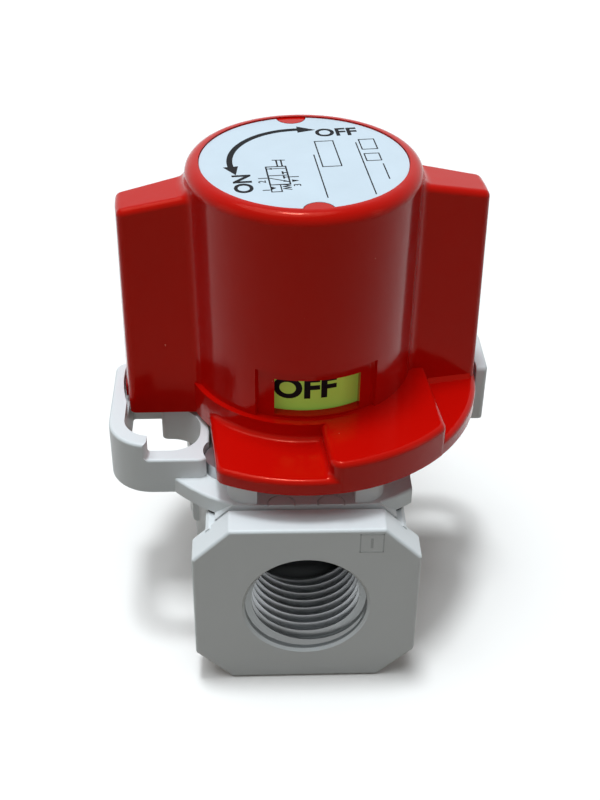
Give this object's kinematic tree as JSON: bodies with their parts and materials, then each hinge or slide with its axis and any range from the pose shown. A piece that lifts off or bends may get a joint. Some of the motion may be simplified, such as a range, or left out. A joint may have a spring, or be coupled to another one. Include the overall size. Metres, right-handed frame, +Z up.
{
  "type": "pneumatic shut-off valve",
  "caption": "Hand-turned shut-off and pressure-release valve for a compressed-air line, with a winged quarter-turn knob, a state window and padlock rings.",
  "frame": {"origin": "centre of the exhaust port's mouth, in the middle of the underside", "axes": "+Z up along the knob's axis, +Y the way the air flows from the inlet port to the outlet port, +X to the right seen from the inlet"},
  "size_m": [0.0527, 0.053, 0.066],
  "materials": {
    "grey_paint": "satin light grey paint on die-cast aluminium",
    "red_paint": "glossy red paint on die-cast aluminium",
    "label": "pale printed label",
    "indicator": "yellow-green moulded plastic",
    "acetal": "natural acetal",
    "steel": "turned stainless steel",
    "screw_steel": "zinc-plated steel",
    "brass": "turned brass",
    "rubber": "black nitrile rubber"
  },
  "bodies": {
    "housing": {"valve_body": "grey_paint", "seat_ring": "brass", "stem_guide": "brass", "guide_o_ring": "rubber", "stem_o_ring": "rubber", "cover_gasket": "rubber", "cover": "grey_paint", "cover_screw_1": "screw_steel", "cover_screw_2": "screw_steel", "cover_screw_3": "screw_steel", "cover_screw_4": "screw_steel", "indicator_ring": "indicator", "thrust_washer": "acetal", "top_washer": "steel", "snap_ring": "steel", "return_spring": "steel"},
    "knob": {"knob": "red_paint", "label_disc": "label", "cam_sleeve": "acetal", "knob_screw_1": "screw_steel", "knob_screw_2": "screw_steel", "knob_screw_3": "screw_steel"},
    "stem": {"valve_stem": "steel", "cross_pin": "steel", "poppet": "brass", "upper_seal": "rubber", "lower_seal": "rubber", "poppet_nut": "brass", "spring_washer": "steel", "stem_clip": "steel"}
  },
  "joints": [
    {"name": "knob_turn", "type": "hinge", "parent": "housing", "child": "knob", "pos_m": [0, 0, 0.045], "axis": [0, 0, 1], "range_deg": [-5.7, 84.3]},
    {"name": "stem_slide", "type": "slide", "parent": "housing", "child": "stem", "axis": [0, 0, 1], "range_m": [-0.00469, 0.00033], "deforming": ["return_spring"]}
  ],
  "couplings": [
    {"joint": "stem_slide", "follows": "knob_turn", "m_per_rad": -0.0031831}
  ]
}
